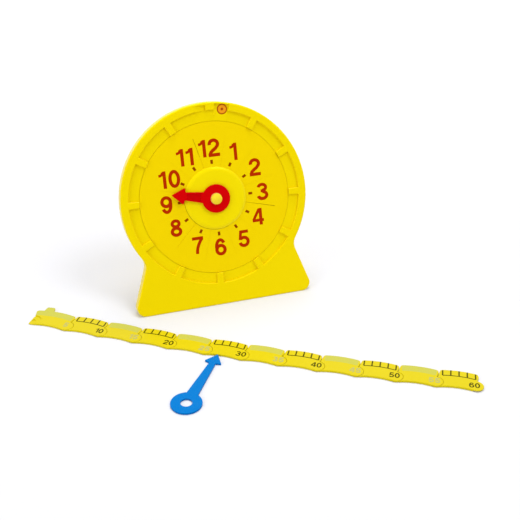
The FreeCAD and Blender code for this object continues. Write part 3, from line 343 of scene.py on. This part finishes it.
def strokeSides(path, width, closed):
    # the two edges of a stroke of even width along a path
    left = []
    right = []
    count = len(path)
    for i in range(count):
        before = path[i - 1] if i > 0 or closed else path[i]
        after = path[(i + 1) % count] if i < count - 1 or closed else path[i]
        dx = after[0] - before[0]
        dy = after[1] - before[1]
        length = math.hypot(dx, dy)
        nx = -dy / length * width / 2
        ny = dx / length * width / 2
        left.append((path[i][0] + nx, path[i][1] + ny))
        right.append((path[i][0] - nx, path[i][1] - ny))
    return left, right


def addStroke(mesh, path, width, low, high, closed=False):
    left, right = strokeSides(path, width, closed)
    rows = []
    for a, b in zip(left, right):
        corners = (*a, high), (*b, high), (*b, low), (*a, low)
        rows.append([mesh.verts.new(corner) for corner in corners])
    pairs = list(zip(rows, rows[1:]))
    if closed:
        pairs.append((rows[-1], rows[0]))
    for first, second in pairs:
        for k in range(4):
            mesh.faces.new((first[k], first[(k + 1) % 4], second[(k + 1) % 4], second[k]))
    if not closed:
        mesh.faces.new(rows[0][::-1])
        mesh.faces.new(rows[-1])


def addPlate(mesh, outline, low, high):
    top = [mesh.verts.new((x, y, high)) for x, y in outline]
    bottom = [mesh.verts.new((x, y, low)) for x, y in outline]
    mesh.faces.new(top)
    mesh.faces.new(bottom[::-1])
    count = len(outline)
    for i in range(count):
        j = (i + 1) % count
        mesh.faces.new((top[i], bottom[i], bottom[j], top[j]))


def finishPiece(name, mesh, place, material, body):
    bmesh.ops.recalc_face_normals(mesh, faces=mesh.faces)
    data = bpy.data.meshes.new(name)
    mesh.to_mesh(data)
    mesh.free()
    data.materials.append(material)
    piece = bpy.data.objects.new(name, data)
    bpy.context.scene.collection.objects.link(piece)
    piece.matrix_world = place
    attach(piece, body)


# Digits are drawn one unit tall as strokes: path, closed, width against the others
digitWidth = 0.56


def digitStrokes(digit, weight):
    edge = weight / 2
    top = 1 - edge
    middle = digitWidth / 2
    reach = middle - edge
    if digit == "0":
        return [(arcPoints(middle, 0.5, reach, 0.5 - edge, 0, 351, 39), True, 1.0)]
    if digit == "1":
        flag = [(0.06, 0.755), (0.14, 0.765), (0.20, 0.80), (0.24, 0.86), (0.26, 0.94)]
        return [([(0.33, 0.0), (0.33, 1.0)], False, 1.0), (flag, False, 0.78)]
    if digit == "2":
        bowl = arcPoints(middle, 0.70, reach, 0.30 - edge, 190, -30, 20)
        tail = [(0.36, 0.455), (0.22, 0.34), (0.12, 0.235), (0.075, 0.12), (0.075, 0.05)]
        foot = [(0.0, edge), (0.555, edge)]
        return [(bowl + tail, False, 1.0), (foot, False, 1.0)]
    if digit == "3":
        upper = arcPoints(0.27, 0.745, 0.265 - edge, 0.255 - edge, 172, -90, 20)
        lower = arcPoints(0.27, 0.285, 0.29 - edge, 0.285 - edge, 90, -172, 24)
        waist = [(0.19, 0.54), (0.29, 0.54)]
        return [(upper, False, 0.95), (lower, False, 1.0), (waist, False, 0.9)]
    if digit == "4":
        stem = [(0.42, 0.0), (0.42, 1.0)]
        slant = [(0.36, 0.95), (0.045, 0.31)]
        bar = [(0.0, 0.285), (0.57, 0.285)]
        return [(stem, False, 1.0), (slant, False, 0.85), (bar, False, 0.9)]
    if digit == "5":
        bowl = arcPoints(0.27, 0.325, 0.285 - edge, 0.325 - edge, 140, -168, 26)
        roof = [(0.11, top), (0.51, top)]
        neck = [(0.15, 1.0), (0.085, 0.44)]
        return [(bowl, False, 1.0), (roof, False, 0.95), (neck, False, 0.9)]
    if digit in "69":
        bowl = arcPoints(middle, 0.33, reach, 0.33 - edge, 0, 351, 39)
        back = arcPoints(middle, 0.5, reach, 0.5 - edge, 200, 32, 20)
        strokes = [(bowl, True, 1.0), (back, False, 1.0)]
        if digit == "6":
            return strokes
        return [([(digitWidth - x, 1 - y) for x, y in path], closed, width)
                for path, closed, width in strokes]
    if digit == "7":
        roof = [(0.01, top), (0.55, top)]
        leg = [(0.50, 0.90), (0.40, 0.74), (0.31, 0.55), (0.25, 0.36), (0.215, 0.18), (0.205, 0.0)]
        return [(roof, False, 0.95), (leg, False, 0.95)]
    upper = arcPoints(middle, 0.75, 0.245 - edge, 0.25 - edge, 0, 351, 39)
    lower = arcPoints(middle, 0.285, 0.28 - edge, 0.285 - edge, 0, 351, 39)
    return [(upper, True, 0.95), (lower, True, 1.0)]


strokeStep = 0.000004   # each stroke a little above the last, so that crossings stay clean


def writeNumber(name, text, centre, lettering, low, high, place, material, body):
    weight = lettering["weight"]
    height = lettering["height"]
    stretch = lettering["stretch"]
    strokes = []
    pen = 0.0
    for digit in text:
        # stretch the digit sideways, then set it beside the one before
        shapes = [([(x * stretch, y) for x, y in path], closed, width * weight)
                  for path, closed, width in digitStrokes(digit, weight / stretch)]
        sides = [side for path, closed, width in shapes for side in strokeSides(path, width, closed)]
        across = [x for side in sides for x, y in side]
        shift = pen - min(across)
        for path, closed, width in shapes:
            strokes.append(([(x + shift, y) for x, y in path], closed, width))
        pen += max(across) - min(across) + lettering["gap"]
    middle = (pen - lettering["gap"]) / 2
    mesh = bmesh.new()
    for i, (path, closed, width) in enumerate(strokes):
        placed = [((x - middle) * height + centre[0], (y - 0.5) * height + centre[1])
                  for x, y in path]
        addStroke(mesh, placed, width * height, low, high + i * strokeStep, closed)
    finishPiece(name, mesh, place, material, body)


# The dial's numbers stand where they balance, in millimetres from its centre
dialPrint = {
    "lettering": {"height": 0.0275, "weight": 0.192, "stretch": 1.22, "gap": 0.125},
    "centres": {
        "12": (-2.0, 80.3), "1": (36.8, 70.0), "2": (69.5, 41.2), "3": (78.5, 0.2),
        "4": (67.1, -40.0), "5": (40.2, -72.5), "6": (0.4, -80.4), "7": (-35.9, -72.5),
        "8": (-68.6, -39.2), "9": (-79.6, -0.5), "10": (-70.2, 39.1), "11": (-42.1, 70.4),
    },
    "markRadius": 0.0582,   # middle of the hour marks
    "markLength": 0.0064,
    "markWidth": 0.0040,
    "thickness": 0.00006,
}
for text, (x, y) in dialPrint["centres"].items():
    writeNumber(f"hour_{text}", text, (x * mm, y * mm), dialPrint["lettering"], -printSink,
                dialPrint["thickness"], facePlace, inkAndShadeMaterials["numerals"], "clock")

marks = bmesh.new()
for hour in range(12):
    inner = dialPrint["markRadius"] - dialPrint["markLength"] / 2
    outer = dialPrint["markRadius"] + dialPrint["markLength"] / 2
    path = spokePath(30 * hour, inner, outer)
    addStroke(marks, path, dialPrint["markWidth"], -printSink, dialPrint["thickness"])
finishPiece("hour_marks", marks, facePlace, inkAndShadeMaterials["hourMarks"], "clock")

# Painted shade: thin dark sheets in the bottoms of two of the grooves cut in the dial, standing in
# for their shade: clock angle, then start and width
paintedGrooveShade = {
    "floor": -0.0006,
    "thickness": 0.00008,
    "end": 0.1008,
    "grooves": {-15: (0.0700, 0.00040), 105: (0.0512, 0.00078)},
}
shades = bmesh.new()
for turn, (start, width) in paintedGrooveShade["grooves"].items():
    path = spokePath(turn, start, paintedGrooveShade["end"])
    floor = paintedGrooveShade["floor"]
    addStroke(shades, path, width, floor - printSink, floor + paintedGrooveShade["thickness"])
finishPiece("sector_painted_shades", shades, facePlace, inkAndShadeMaterials["paintedGrooveShade"], "clock")

# Painted shade along the hub cover's edge on its shaded lower-left side, between two clock angles
paintedHubShade = {"radius": 0.0506, "width": 0.0008, "from": 160, "to": 296, "thickness": 0.00004}
hubShadeMesh = bmesh.new()
path = arcPoints(0, 0, paintedHubShade["radius"], paintedHubShade["radius"],
                 90 - paintedHubShade["from"], 90 - paintedHubShade["to"], 60)
addStroke(hubShadeMesh, path, paintedHubShade["width"], -printSink, paintedHubShade["thickness"])
finishPiece("hub_painted_shade", hubShadeMesh, facePlace, inkAndShadeMaterials["hubEdgeShade"], "clock")

# The round mark on the rim beside twelve: a disc, and a ring with a dot printed on it
badge = {
    "turn": 10.3,
    "radius": 0.1408,   # from the dial's centre
    "size": 0.0083,
    "ring": 0.0017,
    "dot": 0.0021,
    "fill": 0.96,       # disc's radius against the ring's outer one
    "discHigh": 0.00005,
    "ringLow": 0.00002,
    "ringHigh": 0.00009,
}
badgeAngle = math.radians(badge["turn"])
badgeX = badge["radius"] * math.sin(badgeAngle)
badgeY = badge["radius"] * math.cos(badgeAngle)
disc = bmesh.new()
addPlate(disc, circlePoints(badgeX, badgeY, badge["size"] * badge["fill"], 60),
         -printSink, badge["discHigh"])
finishPiece("badge_disc", disc, facePlace, inkAndShadeMaterials["badgeFill"], "clock")
ring = bmesh.new()
path = circlePoints(badgeX, badgeY, badge["size"] - badge["ring"] / 2, 60)
addStroke(ring, path, badge["ring"], badge["ringLow"], badge["ringHigh"], True)
addPlate(ring, circlePoints(badgeX, badgeY, badge["dot"], 24), badge["ringLow"], badge["ringHigh"])
finishPiece("badge_ring", ring, facePlace, inkAndShadeMaterials["badgeRing"], "clock")
print("dial printed")

# Even links are printed in dark ink; odd ones have a pale band with pale print on it
linePrint = {
    "lettering": {"height": 0.0110, "weight": 0.182, "stretch": 1.19, "gap": 0.08},
    "paleLettering": {"height": 0.0114, "weight": 0.240, "stretch": 1.22, "gap": 0.10},
    "numberShift": (-0.0019, 0.0018),      # from the link's right pivot
    "endNumberShift": (-0.0026, 0.0004),   # the last number sits lower, on the free end
    "firstMark": 0.0095,                   # from the link's left pivot
    "markCount": 5,
    "markPitch": 0.0118,
    "markWidth": 0.0021,
    "baseWidth": 0.8,                      # line under the marks, against a mark's width
    "endMarkGap": 0.0013,                  # first and last mark to the link's outer edge
    "markGap": 0.0007,
    "thickness": 0.00005,
}
band = {
    "innerReach": 0.0008,   # past the line under the marks
    "outerInset": 0.0005,
    "endInset": 0.25,       # degrees
    "corner": 0.0043,
    "firstSpan": 28.4,      # degrees, on the first link, where it is longer to the left
    "drop": 0.00003,        # lies this much under the print on it
}
tab = {
    "turn": -7.0, "half": 3.35, "taper": 0.92,   # degrees
    "height": 0.0094, "corner": 0.0024, "overlap": 0.0010, "drop": 0.00004,
}


def ringPoint(radius, turn):
    # a place on the closed ring, in the frame of one link
    angle = math.radians(turn)
    return linkPitch / 2 + radius * math.sin(angle), radius * math.cos(angle) - ringDrop


def ringHeight(radius, x):
    # height of a ring above the pivots, at a place along the link
    return math.sqrt(radius ** 2 - (x - linkPitch / 2) ** 2) - ringDrop


def bandOutline(inner, outer, left, right, corner, taper=0.0):
    # a strip of the ring with its two outer corners rounded, wider inside by the taper
    steps = 16
    cornerSteps = 6
    points = []
    for i in range(steps + 1):
        points.append(ringPoint(inner, left - taper + (right - left + 2 * taper) * i / steps))
    swing = math.degrees(corner / outer)
    for i in range(cornerSteps + 1):
        t = math.radians(90 * i / cornerSteps)
        radius = outer - corner + corner * math.sin(t)
        spread = taper * (outer - radius) / (outer - inner)
        points.append(ringPoint(radius, right - swing + swing * math.cos(t) + spread))
    for i in range(1, steps):
        points.append(ringPoint(outer, right - swing + (left - right + 2 * swing) * i / steps))
    for i in range(cornerSteps + 1):
        t = math.radians(90 * i / cornerSteps)
        radius = outer - corner + corner * math.cos(t)
        spread = taper * (outer - radius) / (outer - inner)
        points.append(ringPoint(radius, left + swing - swing * math.sin(t) - spread))
    return points


minutesPerLink = 5
lineLow = line["thickness"] - printSink
lineHigh = line["thickness"] + linePrint["thickness"]


def printBand(number, place, body):
    outer = line["outerRadius"]
    right = line["bandTurn"] + line["bandHalf"]
    left = right - band["firstSpan"] if number == 1 else line["bandTurn"] - line["bandHalf"]
    mesh = bmesh.new()
    outline = bandOutline(line["printRadius"] - band["innerReach"], outer - band["outerInset"],
                          left + band["endInset"], right - band["endInset"], band["corner"])
    addPlate(mesh, outline, lineLow, lineHigh - band["drop"])
    if number == 1:
        outline = bandOutline(outer - tab["overlap"], outer + tab["height"],
                              tab["turn"] - tab["half"] + tab["taper"],
                              tab["turn"] + tab["half"] - tab["taper"],
                              tab["corner"], tab["taper"])
        addPlate(mesh, outline, lineLow, lineHigh - tab["drop"])
    finishPiece(f"band_{number * minutesPerLink:02d}", mesh, place, inkAndShadeMaterials["paleBand"], body)


def printMarks(number, place, body, material):
    # upright marks on a line that follows the ring
    mesh = bmesh.new()
    foot = line["printRadius"]
    last = linePrint["markCount"] - 1
    across = [linePrint["firstMark"] + linePrint["markPitch"] * i for i in range(last + 1)]
    for i, x in enumerate(across):
        gap = linePrint["endMarkGap"] if i in (0, last) else linePrint["markGap"]
        path = [(x, ringHeight(foot, x)), (x, ringHeight(line["outerRadius"], x) - gap)]
        addStroke(mesh, path, linePrint["markWidth"], lineLow, lineHigh + strokeStep)
    steps = 24
    xs = [across[0] + (across[-1] - across[0]) * i / steps for i in range(steps + 1)]
    path = [(x, ringHeight(foot, x)) for x in xs]
    addStroke(mesh, path, linePrint["markWidth"] * linePrint["baseWidth"], lineLow, lineHigh)
    finishPiece(f"minute_marks_{number * minutesPerLink:02d}", mesh, place, material, body)


for number in range(1, linkCount + 1):
    place = linkPlace(number)
    body = f"link_{number:02d}_body"
    dark = number % 2 == 0
    if not dark:
        printBand(number, place, body)
    printMarks(number, place, body, inkAndShadeMaterials["minuteMarks" if dark else "paleMarks"])
    minutes = number * minutesPerLink
    shiftX, shiftY = linePrint["endNumberShift" if number == linkCount else "numberShift"]
    writeNumber(f"minute_{minutes:02d}", str(minutes), (linkPitch + shiftX, shiftY),
                linePrint["lettering" if dark else "paleLettering"], lineLow, lineHigh, place,
                inkAndShadeMaterials["minuteMarks" if dark else "paleNumbers"], body)
print("number line printed")


table = {
    "colour": (0.712, 0.715, 0.752),
    "half": 30.0,
    "drop": 0.0002,       # under the clock and the line, so that nothing shares its plane
    "nearGlow": 0.035,    # glow of the white paper round the clock
    "farGlow": 0.50,
    "glowFrom": 0.45,     # distances from the clock between which it grows
    "glowTo": 1.80,
}
lamps = {
    "key": {"place": (1.15, -1.0, 2.6), "aim": (0.0, -0.05, 0.1), "size": 1.1, "power": 24.0},
    "fill": {"place": (-2.15, -0.85, 0.85), "aim": (0.0, -0.05, 0.1), "size": 1.6, "power": 15.0},
    "top": {"place": (0.2, 0.6, 2.2), "aim": (0.0, 0.0, 0.0), "size": 1.4, "power": 26.5},
}
sky = {"light": 0.82, "seen": 1.35, "mirrored": 1.0}


def seenStrength(tree, unseen, seen, mirrored):
    # one strength as a light, one for the camera and one for reflections
    path = tree.nodes.new("ShaderNodeLightPath")
    strength = None
    for ray, level in (("Is Camera Ray", seen), ("Is Glossy Ray", mirrored)):
        step = tree.nodes.new("ShaderNodeMath")
        step.operation = "MULTIPLY_ADD"
        tree.links.new(path.outputs[ray], step.inputs[0])
        step.inputs[1].default_value = level - unseen
        if strength is None:
            step.inputs[2].default_value = unseen
        else:
            tree.links.new(strength, step.inputs[2])
        strength = step.outputs[0]
    return strength


def whitePaper():
    # dull white, with a glow for the camera that grows away from the clock
    material = bpy.data.materials.new("white paper")
    material.use_nodes = True
    tree = material.node_tree
    tree.nodes.clear()
    output = tree.nodes.new("ShaderNodeOutputMaterial")
    paper = tree.nodes.new("ShaderNodeBsdfDiffuse")
    paper.inputs["Color"].default_value = (*table["colour"], 1)
    place = tree.nodes.new("ShaderNodeTexCoord").outputs["Object"]
    distance = tree.nodes.new("ShaderNodeVectorMath")
    distance.operation = "LENGTH"
    tree.links.new(place, distance.inputs[0])
    spread = tree.nodes.new("ShaderNodeMapRange")
    spread.interpolation_type = "SMOOTHSTEP"
    spread.inputs["From Min"].default_value = table["glowFrom"]
    spread.inputs["From Max"].default_value = table["glowTo"]
    spread.inputs["To Min"].default_value = table["nearGlow"]
    spread.inputs["To Max"].default_value = table["farGlow"]
    tree.links.new(distance.outputs["Value"], spread.inputs["Value"])
    seen = tree.nodes.new("ShaderNodeMath")
    seen.operation = "MULTIPLY"
    tree.links.new(spread.outputs["Result"], seen.inputs[0])
    tree.links.new(seenStrength(tree, 0.0, 1.0, 1.0), seen.inputs[1])
    glow = tree.nodes.new("ShaderNodeEmission")
    tree.links.new(seen.outputs[0], glow.inputs["Strength"])
    both = tree.nodes.new("ShaderNodeAddShader")
    tree.links.new(paper.outputs[0], both.inputs[0])
    tree.links.new(glow.outputs[0], both.inputs[1])
    tree.links.new(both.outputs[0], output.inputs["Surface"])
    return material


def makeTable():
    mesh = bmesh.new()
    bmesh.ops.create_grid(mesh, x_segments=1, y_segments=1, size=table["half"])
    data = bpy.data.meshes.new("table_top")
    mesh.to_mesh(data)
    mesh.free()
    data.materials.append(whitePaper())
    top = bpy.data.objects.new("table_top", data)
    bpy.context.scene.collection.objects.link(top)
    top.location = (0, 0, -table["drop"])


def makeSky():
    world = bpy.data.worlds.new("studio")
    bpy.context.scene.world = world
    world.use_nodes = True
    tree = world.node_tree
    tree.nodes.clear()
    output = tree.nodes.new("ShaderNodeOutputWorld")
    dome = tree.nodes.new("ShaderNodeBackground")
    strength = seenStrength(tree, sky["light"], sky["seen"], sky["mirrored"])
    tree.links.new(strength, dome.inputs["Strength"])
    tree.links.new(dome.outputs[0], output.inputs["Surface"])


def addLamp(name, lamp):
    data = bpy.data.lights.new(name, "AREA")
    data.shape = "DISK"
    data.size = lamp["size"]
    data.energy = lamp["power"]
    light = bpy.data.objects.new(name, data)
    bpy.context.scene.collection.objects.link(light)
    light.location = lamp["place"]
    aim = Vector(lamp["aim"]) - Vector(lamp["place"])
    light.rotation_euler = aim.to_track_quat("-Z", "Y").to_euler()


makeTable()
makeSky()
for name, lamp in lamps.items():
    addLamp(f"{name} lamp", lamp)

camera = {
    "place": (-0.3069, -1.1942, 0.8224),
    "towards": (0.2514, 0.8180, -0.5175),
    "lens": 62.05,
    "sensor": 36.0,
    "nearest": 0.01,
}
lens = bpy.data.cameras.new("camera")
lens.lens = camera["lens"]
lens.sensor_width = camera["sensor"]
lens.clip_start = camera["nearest"]
view = bpy.data.objects.new("camera", lens)
bpy.context.scene.collection.objects.link(view)
view.location = camera["place"]
view.rotation_euler = Vector(camera["towards"]).to_track_quat("-Z", "Y").to_euler()
bpy.context.scene.camera = view
bpy.context.scene.view_settings.view_transform = "Standard"
print("studio set")
